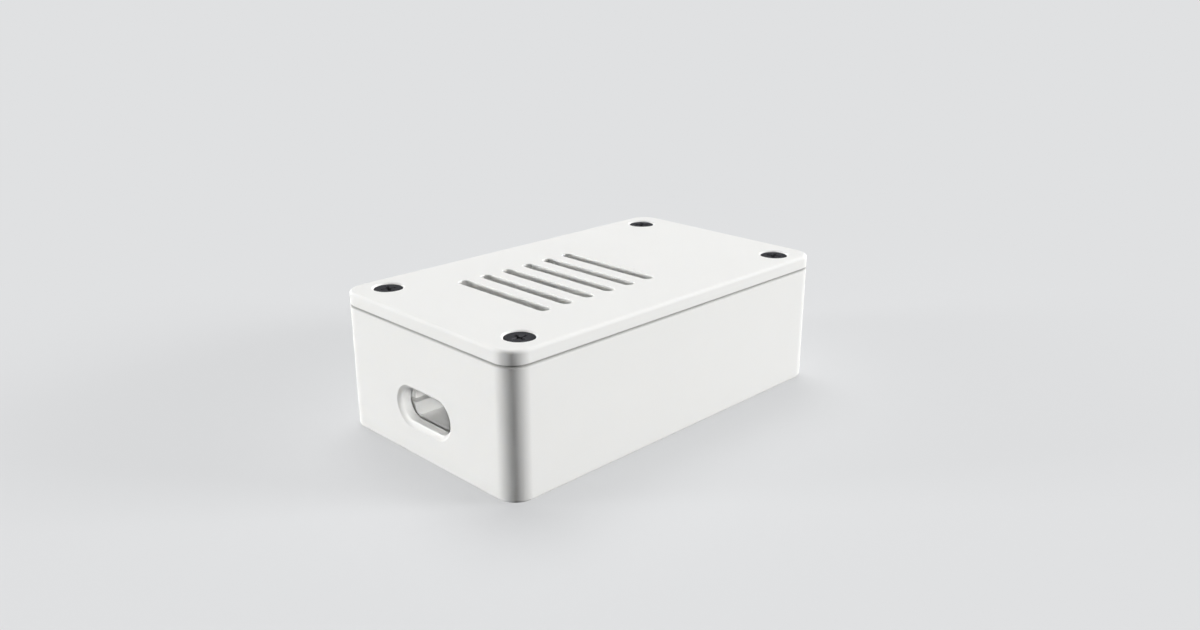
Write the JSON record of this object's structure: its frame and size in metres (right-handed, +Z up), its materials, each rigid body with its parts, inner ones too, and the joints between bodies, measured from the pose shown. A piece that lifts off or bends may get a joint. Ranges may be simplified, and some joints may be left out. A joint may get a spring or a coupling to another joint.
{
  "type": "electronics enclosure",
  "caption": "Small oblong box for a circuit board: moulded base with board rails and an oval cable port, closed by a flat slotted lid on countersunk corner screws.",
  "frame": {"origin": "middle of the underside, on the surface that the box stands on", "axes": "+X along the length, away from the cable port, +Y across the width, +Z up through the lid"},
  "size_m": [0.06, 0.035, 0.0195],
  "materials": {
    "shell": "fine matt moulded texture, off-white",
    "screw": "black oxide steel",
    "insert": "knurled, plain brass"
  },
  "bodies": {
    "root": {"base": "shell", "lid": "shell", "lid_screws": "screw", "threaded_inserts": "insert"}
  },
  "joints": []
}
